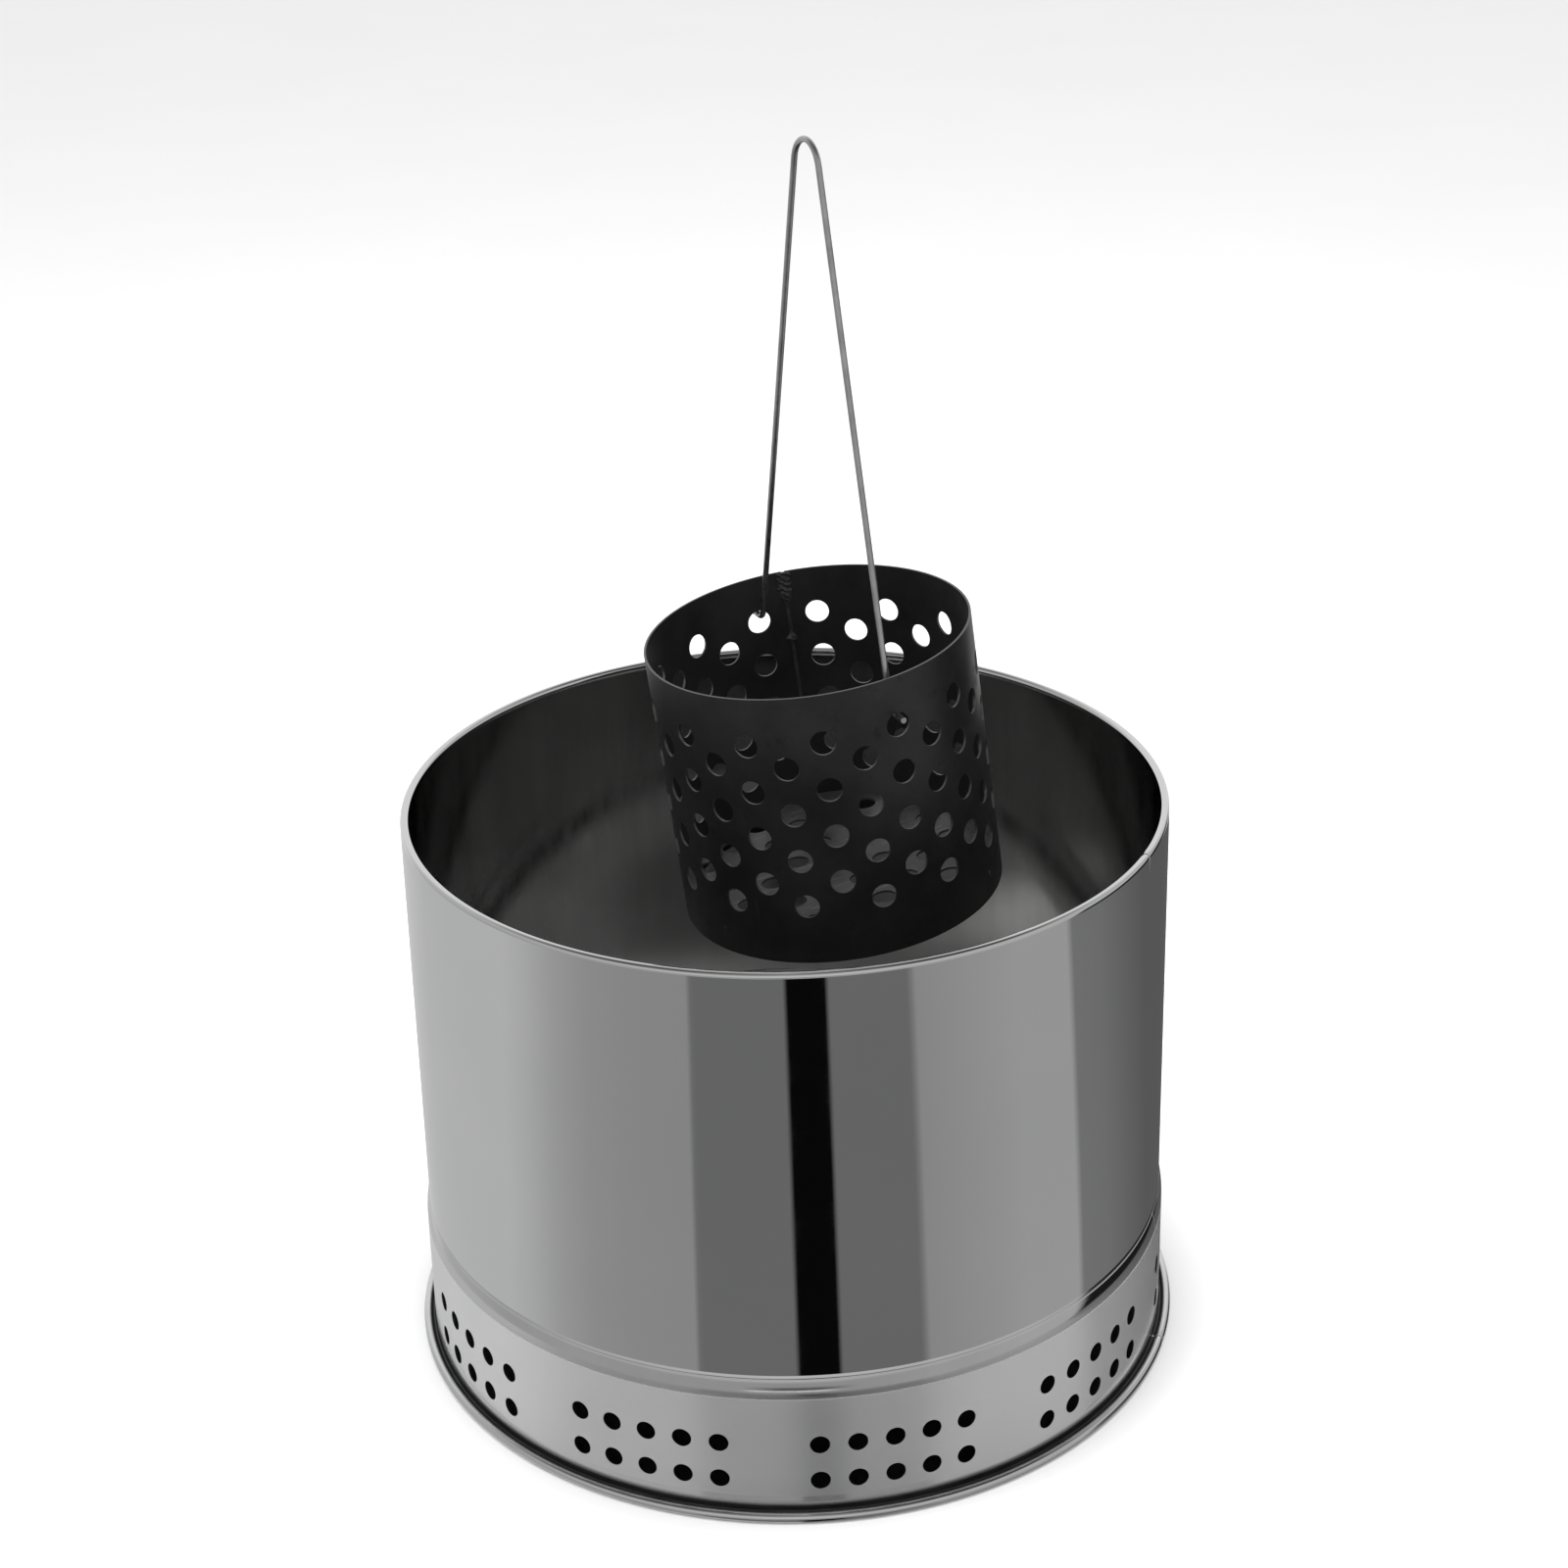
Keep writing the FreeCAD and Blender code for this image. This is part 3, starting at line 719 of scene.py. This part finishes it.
fm += [{0: 0, 1: 1, 2: 2}[k] for k in pm]
ringo = new_object("base_ring_skin", v, f, [M_BRUSH, M_VENT_SHADE, M_PLATE_SHADE, M_POLISH, M_INSIDE_SHADE, M_CREASE_SHADE], fm, 30.0)
for p in ringo.data.polygons:
    c = p.center
    rr = math.hypot(c.x, c.y) / MM
    inward = p.normal.x * c.x + p.normal.y * c.y < 0.0
    # inward faces of the band take darker colours than its outside: the drum's inner material above the fire plate and
    # the plate material below it, painted shade that deepens further inside
    if p.material_index == 0 and c.z > 0.0062 and inward:
        p.material_index = 4 if c.z > 0.062 else 2
    elif p.material_index == 2 and c.z > 0.062:
        p.material_index = 4
    elif p.material_index == 0 and (c.z > 0.0882 or c.z < 0.0150):
        # the fold above the rolled foot takes the crease material, whose dark colour is painted shade
        p.material_index = 5 if 0.0030 < c.z < 0.0150 and BAND_R - 0.1 < rr < 257.4 else 3
radial_normals(ringo, BAND_R, BAND_R - SHEET, VZ0, VZ1)
pinch(ringo, BAND_SEAM, 258.456, FOOT_R, FOOT_R)
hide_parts("base_ring")
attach(ringo, "base")

# ------------------------------------------------------------------ basket
ex = (Vector((1, 0, 0)) - BK_AXIS * BK_AXIS.dot(Vector((1, 0, 0)))).normalized()
ey = BK_AXIS.cross(ex)
BM = Matrix(((ex.x, ey.x, BK_AXIS.x, BK_TOP.x * MM), (ex.y, ey.y, BK_AXIS.y, BK_TOP.y * MM),
             (ex.z, ey.z, BK_AXIS.z, BK_TOP.z * MM), (0, 0, 0, 1)))
holes = [(a, -d) for a, rows in BK_COLS for d in BK_ROWS[rows]]
s_half = math.degrees(BK_SEAM_W / 2 / BK_R)
pv, pf, pm = perforated(BK_R, BK_T, -BK_H, 0.0, BK_SEAM + s_half, BK_SEAM + 360 - s_half, 240, holes,
                        BK_HOLE_R - 0.1, 48, 4.4, 0.10)
bk = new_object("basket_shell_skin", pv, pf, [M_BLACK, M_EDGE, M_BLACK_IN], pm, 30.0)
radial_normals(bk, BK_R, BK_R - BK_T, -BK_H, 0.0)
bk.matrix_world = BM
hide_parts("basket_shell")
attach(bk, "basket")

# longitudinal weld: a rough, burnt run at the top edge, one tack lower down, a tight seam between


def lump(x, seed):
    return math.sin(x * 1.9 + seed) * 0.5 + math.sin(x * 4.3 + seed * 2.1) * 0.3 + math.sin(x * 9.1 + seed * 0.7) * 0.2


wv, wf = [], []
ND, NC = 260, 18
ri_ = BK_R - BK_T
for i in range(ND + 1):
    d = 0.6 + (BK_H - 1.2) * i / ND
    blob = 1.0 / (1.0 + math.exp((d - 21.0) / 2.2))
    tack = math.exp(-((d - 49.0) / 2.6) ** 2)
    w = 1.25 + 3.3 * blob + 2.6 * tack
    hgt = 0.55 + 1.5 * blob + 1.7 * tack
    for q in range(NC + 1):
        t = -1.0 + 2.0 * q / NC
        lum = 0.75 + 0.45 * (blob + tack) * lump(d * 0.8 + t * 2.2, 1.3) + 0.12 * lump(d * 2.3 - t * 3.0, 4.0)
        side = 0.8 * (blob + tack) * lump(d * 0.55, 2.0)
        a = math.radians(BK_SEAM) + (t * w * (1.0 + 0.18 * lump(d * 0.9, 5.0 + t)) + side) / ri_
        r = ri_ + 0.05 - max(0.0, hgt * lum) * math.sqrt(max(0.0, 1.0 - t * t))
        wv.append((r * math.cos(a) * MM, r * math.sin(a) * MM, -d * MM))
k = NC + 1
for i in range(ND):
    for q in range(NC):
        wf.append((i * k + q, i * k + q + 1, (i + 1) * k + q + 1, (i + 1) * k + q))
# outer face of the joint: a ground-flush strip that fills the gap between the sheet's edges
base = len(wv)
for i in range(ND + 1):
    d = 0.6 + (BK_H - 1.2) * i / ND
    for q, (t, r) in enumerate(((-1.0, ri_ + 0.2), (-1.0, BK_R - 0.05), (-0.4, BK_R + 0.22), (0.4, BK_R + 0.25), (1.0, BK_R - 0.05), (1.0, ri_ + 0.2))):
        wob = 0.14 * lump(d * 1.7, 3.0 + t) if 0 < q < 5 else 0.0
        a = math.radians(BK_SEAM) + t * (BK_SEAM_W / 2 - 0.02) / BK_R
        wv.append(((r + wob) * math.cos(a) * MM, (r + wob) * math.sin(a) * MM, -d * MM))
for i in range(ND):
    for q in range(6):
        q2 = (q + 1) % 6
        wf.append((base + i * 6 + q, base + i * 6 + q2, base + (i + 1) * 6 + q2, base + (i + 1) * 6 + q))
for i in (0, ND):
    c = tuple(base + i * 6 + q for q in range(6))
    wf.append(c if i else c[::-1])
# close the bead's ends and back against the sheet
for i in (0, ND):
    row = [i * k + q for q in range(k)]
    wf.append(tuple(row) if i == 0 else tuple(row[::-1]))
for i in range(ND):
    wf.append((i * k, (i + 1) * k, (i + 1) * k + NC, i * k + NC))
wl = new_object("basket_seam_bead", wv, wf, [M_WELD], None, 50.0)
wl.matrix_world = BM
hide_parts("basket_seam_weld")
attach(wl, "basket")

# ------------------------------------------------------------------ bail
cols = (-85.65, 85.10)
lift = BK_HOLE_R - BAIL_r - PIN_CLEAR


def wpt(deg, dep):
    a = math.radians(deg)
    r = BK_R - BK_T / 2
    return BK_TOP + ex * (r * math.cos(a)) + ey * (r * math.sin(a)) - BK_AXIS * dep


pin_n, pin_f = wpt(cols[0], 32.2 - lift), wpt(cols[1], 32.2 - lift)
mid = (pin_n + pin_f) / 2
ax = (pin_n - pin_f).normalized()
up = (Vector((0, 0, 1)) - ax * ax.z).normalized()
nrm = ax.cross(up)
top_h = BAIL_TOP - mid.z
al = math.atan(LEG_SLOPE)
r_top = (LEG_FOOT - LEG_SLOPE * top_h) / (math.cos(al) + LEG_SLOPE * math.sin(al) - LEG_SLOPE)
hc = top_h - r_top
tw, th = r_top * math.cos(al), hc + r_top * math.sin(al)
SHIFT = -2.4


def lp(s, h):
    return (s + SHIFT * h / top_h, h)


def fillet(p0, p1, p2, r, n=10):
    a, b, c = (Vector(p) for p in (p0, p1, p2))
    d1, d2 = (a - b).normalized(), (c - b).normalized()
    half = math.acos(max(-1, min(1, d1.dot(d2)))) / 2
    L = r / math.tan(half)
    bis = (d1 + d2).normalized()
    o = b + bis * (r / math.sin(half))
    t1, t2 = b + d1 * L, b + d2 * L
    a1 = math.atan2(*(t1 - o).yx)
    a2 = math.atan2(*(t2 - o).yx)
    while a2 - a1 > math.pi:
        a2 -= 2 * math.pi
    while a2 - a1 < -math.pi:
        a2 += 2 * math.pi
    return [(o.x + r * math.cos(a1 + (a2 - a1) * i / n), o.y + r * math.sin(a1 + (a2 - a1) * i / n)) for i in range(n + 1)]


def straight(a, b, n):
    return [(a[0] + (b[0] - a[0]) * i / n, a[1] + (b[1] - a[1]) * i / n) for i in range(1, n)]


fa = fillet((PIN_OUT, 0), (LEG_FOOT, 0), lp(tw, th), HOOK_BEND)
fb = fillet(lp(-tw, th), (-LEG_FOOT, 0), (-PIN_OUT, 0), HOOK_BEND)
p1, p2, p3 = lp(tw, th), lp(0, hc + r_top), lp(-tw, th)
# arc through the three points of the top
A = Matrix(((2 * (p2[0] - p1[0]), 2 * (p2[1] - p1[1])), (2 * (p3[0] - p1[0]), 2 * (p3[1] - p1[1]))))
B = Vector((p2[0] ** 2 - p1[0] ** 2 + p2[1] ** 2 - p1[1] ** 2, p3[0] ** 2 - p1[0] ** 2 + p3[1] ** 2 - p1[1] ** 2))
cc = A.inverted() @ B
rt = math.hypot(p1[0] - cc.x, p1[1] - cc.y)
g1, g3 = math.atan2(p1[1] - cc.y, p1[0] - cc.x), math.atan2(p3[1] - cc.y, p3[0] - cc.x)
if g3 < g1:
    g3 += 2 * math.pi
topbend = [(cc.x + rt * math.cos(g1 + (g3 - g1) * i / 28), cc.y + rt * math.sin(g1 + (g3 - g1) * i / 28)) for i in range(29)]
line = [(PIN_OUT, 0)] + straight((PIN_OUT, 0), fa[0], 6) + fa + straight(fa[-1], p1, 60) + topbend + \
       straight(p3, fb[0], 60) + fb + straight(fb[-1], (-PIN_OUT, 0), 6) + [(-PIN_OUT, 0)]


def tube(name, path2d, r, mat, n=24):
    vs, fs = [], []
    P = [mid + ax * s + up * h for s, h in path2d]
    m = len(P)
    for i in range(m):
        t = (P[min(i + 1, m - 1)] - P[max(i - 1, 0)]).normalized()
        side = nrm
        w = side.cross(t).normalized()
        for q in range(n):
            b = 2 * math.pi * q / n
            vs.append((P[i] + side * (r * math.cos(b)) + w * (r * math.sin(b))) * MM)
    for i in range(m - 1):
        for q in range(n):
            q2 = (q + 1) % n
            fs.append((i * n + q, i * n + q2, (i + 1) * n + q2, (i + 1) * n + q))
    # sawn ends with an eased edge: the last ring is drawn in, then closed
    for i, s in ((0, 1), (m - 1, -1)):
        base = len(vs)
        t = (P[1] - P[0]).normalized() if i == 0 else (P[m - 2] - P[m - 1]).normalized()
        c = P[i]
        for q in range(n):
            vs[i * n + q] = (Vector(vs[i * n + q]) / MM + t * 0.3) * MM
        side, w = nrm, nrm.cross(t).normalized()
        ring_ids = [i * n + q for q in range(n)]
        cap = []
        for q in range(n):
            d = (Vector(vs[ring_ids[q]]) / MM - (c + t * 0.3))
            vs.append((c + d * 0.85) * MM)
            cap.append(base + q)
        for q in range(n):
            q2 = (q + 1) % n
            fs.append((ring_ids[q], ring_ids[q2], cap[q2], cap[q]))
        fs.append(tuple(cap))
    return new_object(name, vs, fs, [mat], None, 40.0)


bail = tube("bail_wire_skin", line, BAIL_r, M_WIRE)
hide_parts("bail_wire")
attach(bail, "bail")

# ------------------------------------------------------------------ camera
cz = math.radians(-CAM_AZ)
RZ = Matrix.Rotation(cz, 3, "Z")
yaw, pitch, roll = 0.00108, 0.39438, 0.02495
cy_, sy_, cp_, sp_ = math.cos(yaw), math.sin(yaw), math.cos(pitch), math.sin(pitch)
fwd = Vector((sy_ * cp_, cy_ * cp_, -sp_))
rgt = Vector((cy_, -sy_, 0))
dwn = fwd.cross(rgt)
r2 = math.cos(roll) * rgt + math.sin(roll) * dwn
d2 = -math.sin(roll) * rgt + math.cos(roll) * dwn
R3 = Matrix((RZ @ r2, RZ @ -d2, RZ @ -fwd)).transposed()
cam = bpy.data.cameras.new("camera")
cam.sensor_width = 36.0
cam.lens = 3013.04 / 1600.0 * 36.0
cam.shift_y = -0.075
cam.clip_start, cam.clip_end = 0.05, 60.0
camo = bpy.data.objects.new("camera", cam)
scene.collection.objects.link(camo)
camo.matrix_world = Matrix.Translation(RZ @ Vector((0, -7.03559 * 0.25, 4.81651 * 0.25))) @ R3.to_4x4()
scene.camera = camo

# ------------------------------------------------------------------ floor
fm_, fnt, fb_ = nodes_of("studio_floor")
fb_.inputs["Roughness"].default_value = 0.7
fb_.inputs["Specular IOR Level"].default_value = 0.15
fv = coords(fnt)
fnz = noise(fnt, fv, 3.0, 3.0)
fnt.links.new(mix_rgb(fnt, fnz, (0.90, 0.90, 0.90), (0.93, 0.93, 0.93)), fb_.inputs["Base Color"])
S = 14.0
floor_me = bpy.data.meshes.new("studio_floor")
floor_me.from_pydata([(-S, -S, 0), (S, -S, 0), (S, S, 0), (-S, S, 0)], [], [(0, 1, 2, 3)])
floor_me.materials.append(fm_)
floor = bpy.data.objects.new("studio_floor", floor_me)
scene.collection.objects.link(floor)
floor.location.z = -0.0004
floor.visible_glossy = False

# ------------------------------------------------------------------ studio surroundings
world = bpy.data.worlds.new("studio")
scene.world = world
world.use_nodes = True
wt = world.node_tree
for n in list(wt.nodes):
    wt.nodes.remove(n)
wo = wt.nodes.new("ShaderNodeOutputWorld")
tc = wt.nodes.new("ShaderNodeTexCoord")
sep = wt.nodes.new("ShaderNodeSeparateXYZ")
rot = wt.nodes.new("ShaderNodeVectorRotate")
rot.rotation_type = "Z_AXIS"
rot.inputs["Angle"].default_value = math.radians(CAM_AZ + 90.0)     # the view's side becomes +X
wt.links.new(tc.outputs["Generated"], rot.inputs["Vector"])
wt.links.new(rot.outputs[0], sep.inputs[0])
ang = math_node(wt, "ARCTAN2", sep.outputs[1], sep.outputs[0])
# the flags round the set stand a little out of square, so their edges lean with height
beta = math_node(wt, "MULTIPLY", ang, 180.0 / math.pi)
tt = remap(wt, sep.outputs[2], -0.539 - 0.14, -0.539 + 0.14, 0.14 / 0.096, -0.14 / 0.096)
beta = math_node(wt, "DIVIDE", math_node(wt, "SUBTRACT", beta, math_node(wt, "MULTIPLY", tt, 1.1)),
                 math_node(wt, "ADD", math_node(wt, "MULTIPLY", tt, 0.075), 1.0))
u = math_node(wt, "DIVIDE", math_node(wt, "ADD", beta, 180.0), 360.0, clamp=True)


def ramp(stops, src, interp="LINEAR"):
    n = wt.nodes.new("ShaderNodeValToRGB")
    n.color_ramp.interpolation = interp
    el = n.color_ramp.elements
    while len(el) > 1:
        el.remove(el[-1])
    for i, (p, val) in enumerate(stops):
        e = el[0] if i == 0 else el.new(p)
        e.position = p
        e.color = (val, val, val, 1)
    wt.links.new(src, n.inputs[0])
    return n.outputs[0]


def U(beta):
    return (beta + 180.0) / 360.0


LOW = [(-180, .62), (-160, .57), (-146, .54), (-98, .54), (-88, .49), (-77, .40), (-64, .335), (-50, .312), (-29.8, .30),
       (-29.5, .165), (-0.75, .165), (-0.55, .003), (11.5, .003), (11.7, .165), (37.8, .165), (38.2, .30), (55, .34),
       (75, .385), (96.6, .385), (97.5, .205), (112, .19), (126, .15), (142, .113), (160, .106), (180, .106)]
UP = [(-180, .80), (-160, .78), (-140, .50), (-100, .40), (-60, .38), (-20, .36), (0, .34), (20, .36), (45, .42),
      (80, .46), (99, .47), (104, .012), (150, .012), (160, .04), (169, .80), (180, .80)]
HIGH = [(-180, .80), (-160, .78), (-140, .55), (-100, .45), (-60, .50), (0, .60), (45, .55), (100, .50), (150, .50),
        (169, .80), (180, .80)]
TOP = [(-180, .40), (-120, .08), (-70, .10), (-30, .22), (0, .26), (30, .22), (70, .08), (130, .03), (165, .3), (180, .40)]
low = ramp([(U(b), x) for b, x in LOW], u)
def spot(src, centre, half, soft):
    """1 within `half` of the centre, falling to 0 over `soft`."""
    d = math_node(wt, "ABSOLUTE", math_node(wt, "SUBTRACT", src, centre))
    return remap(wt, d, half, half + soft, 1.0, 0.0)


upr = ramp([(U(b), x) for b, x in UP], u)
high = ramp([(U(b), x) for b, x in HIGH], u)
# the flags' upper edges stand lower in front than at the sides
edge = math_node(wt, "ADD", sep.outputs[2], math_node(wt, "MULTIPLY", spot(beta, 0.0, 50.0, 40.0), 0.05))
studio = mix_rgb(wt, remap(wt, edge, -0.41, -0.37, 0.0, 1.0), low, upr)
studio = mix_rgb(wt, remap(wt, sep.outputs[2], -0.05, 0.10, 0.0, 1.0), studio, high)


# a narrow lamp low in front, and the end of the black flag just above it
dark = math_node(wt, "MULTIPLY", spot(sep.outputs[2], -0.25, 0.02, 0.06), spot(beta, 2.0, 6.0, 12.0))
studio = mix_rgb(wt, math_node(wt, "MULTIPLY", dark, 0.8), studio, (0.05, 0.05, 0.05))
lit = math_node(wt, "MULTIPLY", spot(sep.outputs[2], -0.335, 0.008, 0.014), spot(beta, -1.0, 11.0, 5.0))
studio = mix_rgb(wt, lit, studio, (0.95, 0.95, 0.95))
# darker straight overhead
topk = remap(wt, sep.outputs[2], 0.60, 0.85, 0.0, 1.0)
studio = mix_rgb(wt, topk, studio, ramp([(U(b), x) for b, x in TOP], u))
lpn = wt.nodes.new("ShaderNodeLightPath")
bg1 = wt.nodes.new("ShaderNodeBackground")      # what metal sees
bg2 = wt.nodes.new("ShaderNodeBackground")      # what lights the floor and everything matt
wt.links.new(studio, bg1.inputs[0])
bg1.inputs[1].default_value = 1.0
bg2.inputs[0].default_value = (1, 1, 1, 1)
bg2.inputs[1].default_value = 0.93
ms = wt.nodes.new("ShaderNodeMixShader")
wt.links.new(lpn.outputs["Is Glossy Ray"], ms.inputs[0])
wt.links.new(bg2.outputs[0], ms.inputs[1])
wt.links.new(bg1.outputs[0], ms.inputs[2])
wt.links.new(ms.outputs[0], wo.inputs[0])


def area(name, loc, aim, size, power, size_y=None):
    L = bpy.data.lights.new(name, "AREA")
    L.energy = power
    L.size = size
    if size_y:
        L.shape = "RECTANGLE"
        L.size_y = size_y
    o = bpy.data.objects.new(name, L)
    scene.collection.objects.link(o)
    o.location = loc
    o.rotation_euler = (Vector(aim) - Vector(loc)).to_track_quat("-Z", "Y").to_euler()
    return o


# both lamps light only what is matt; what metal mirrors is the set round it
key = area("soft_key", RZ @ Vector((-1.6, -0.9, 2.6)), (0, 0, 0.35), 1.6, 26.0)
top = area("soft_overhead", (0.036, -0.012, 2.3), (0.036, -0.012, 0.0), 0.7, 45.0)
key.visible_glossy = False
# a small lamp over the rim brightens the plate beside the basket
L = bpy.data.lights.new("plate_lamp", "SPOT")
L.energy, L.spot_size, L.spot_blend, L.shadow_soft_size = 520.0, math.radians(5.0), 1.0, 0.03
lamp = bpy.data.objects.new("plate_lamp", L)
scene.collection.objects.link(lamp)
lamp.location = RZ @ Vector((-0.12, 0.40, 2.0))
lamp.rotation_euler = (RZ @ Vector((-0.075, 0.150, 0.062)) - lamp.location).to_track_quat("-Z", "Y").to_euler()
lamp.visible_glossy = False
top.visible_glossy = False

scene.view_settings.view_transform = "Standard"
scene.view_settings.look = "None"
